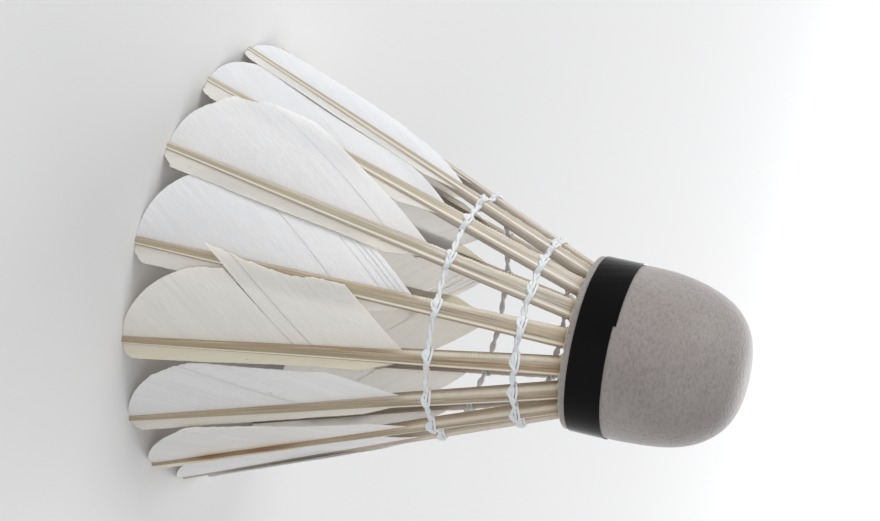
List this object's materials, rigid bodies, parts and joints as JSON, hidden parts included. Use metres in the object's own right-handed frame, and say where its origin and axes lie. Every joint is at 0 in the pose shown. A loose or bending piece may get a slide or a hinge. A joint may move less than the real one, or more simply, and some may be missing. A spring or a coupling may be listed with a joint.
{
  "type": "badminton shuttlecock",
  "caption": "Feather badminton shuttlecock: a leather-covered cork head with a black tape band, and an open cone of tied feathers.",
  "frame": {"origin": "centre of the circle of feather tips, on the surface that the tips stand on", "axes": "+Z along the shuttlecock's axis, from the feather tips to the nose of the cork; +X and +Y across the skirt, which is pressed in slightly along X"},
  "size_m": [0.0686, 0.074, 0.0814],
  "materials": {
    "quill": "satin horn, beige with an olive stripe",
    "vane": "matt off-white feather barbs, slightly translucent",
    "thread": "white twisted cotton",
    "cork": "natural and composite cork",
    "cover": "pale grey matt leather with a fine grain",
    "tape": "glossy black tape",
    "glue": "dried clear-yellow glue"
  },
  "bodies": {
    "root": {"feather_01_quill": "quill", "feather_01_wide_vane": "vane", "feather_01_narrow_vane": "vane", "feather_02_quill": "quill", "feather_02_wide_vane": "vane", "feather_02_narrow_vane": "vane", "feather_03_quill": "quill", "feather_03_wide_vane": "vane", "feather_03_narrow_vane": "vane", "feather_04_quill": "quill", "feather_04_wide_vane": "vane", "feather_04_narrow_vane": "vane", "feather_05_quill": "quill", "feather_05_wide_vane": "vane", "feather_05_narrow_vane": "vane", "feather_06_quill": "quill", "feather_06_wide_vane": "vane", "feather_06_narrow_vane": "vane", "feather_07_quill": "quill", "feather_07_wide_vane": "vane", "feather_07_narrow_vane": "vane", "feather_08_quill": "quill", "feather_08_wide_vane": "vane", "feather_08_narrow_vane": "vane", "feather_09_quill": "quill", "feather_09_wide_vane": "vane", "feather_09_narrow_vane": "vane", "feather_10_quill": "quill", "feather_10_wide_vane": "vane", "feather_10_narrow_vane": "vane", "feather_11_quill": "quill", "feather_11_wide_vane": "vane", "feather_11_narrow_vane": "vane", "feather_12_quill": "quill", "feather_12_wide_vane": "vane", "feather_12_narrow_vane": "vane", "feather_13_quill": "quill", "feather_13_wide_vane": "vane", "feather_13_narrow_vane": "vane", "feather_14_quill": "quill", "feather_14_wide_vane": "vane", "feather_14_narrow_vane": "vane", "feather_15_quill": "quill", "feather_15_wide_vane": "vane", "feather_15_narrow_vane": "vane", "feather_16_quill": "quill", "feather_16_wide_vane": "vane", "feather_16_narrow_vane": "vane", "cork_core": "cork", "cork_nose": "cork", "cork_cover": "cover", "cork_tape": "tape", "root_glue": "glue", "thread_row_cork_side": "thread", "thread_row_tip_side": "thread"}
  },
  "joints": []
}
